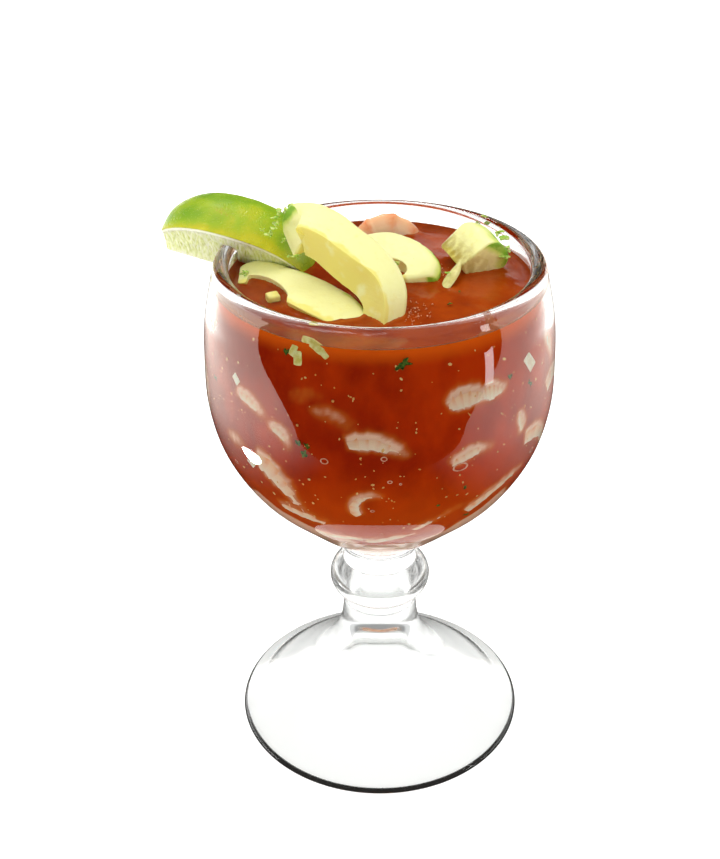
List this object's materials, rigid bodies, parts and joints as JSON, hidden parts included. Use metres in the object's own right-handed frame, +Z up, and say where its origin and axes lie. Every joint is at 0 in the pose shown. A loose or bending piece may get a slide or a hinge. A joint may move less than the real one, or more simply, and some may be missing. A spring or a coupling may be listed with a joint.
{
  "type": "prawn cocktail",
  "caption": "Prawn cocktail in a thick glass goblet: red tomato sauce close to the rim, with prawns and avocado slices on top and a lime wedge hung on the rim.",
  "frame": {"origin": "the middle of the whole cocktail's footprint, on the surface that the goblet stands on; the goblet's axis is 6.5 mm to +X of it, because the lime wedge reaches out on -X", "axes": "+Z up along the goblet, +Y away from the side that the cocktail is served from, +X to the right seen from that side; the lime wedge hangs on the rim on -X"},
  "size_m": [0.1212, 0.1082, 0.1894],
  "materials": {
    "glass": "clear pressed soda-lime glass, polished",
    "sauce": "smooth wet tomato sauce, slightly see-through at its edges",
    "avocado": "moist avocado flesh, pale yellow, greener towards the skin",
    "lime": "waxy green rind with oil pores, white pith and pale juicy flesh",
    "prawn": "cooked and peeled prawn, pale pink with orange bands, wet",
    "onion": "diced white onion, translucent, wet",
    "herb": "chopped green herb leaves, wet"
  },
  "bodies": {
    "root": {"goblet": "glass", "sauce": "sauce", "lime_wedge": "lime", "avocado_long": "avocado", "avocado_front": "avocado", "avocado_back": "avocado", "avocado_chunk": "avocado", "prawn_middle": "prawn", "prawn_left": "prawn"}
  },
  "joints": []
}
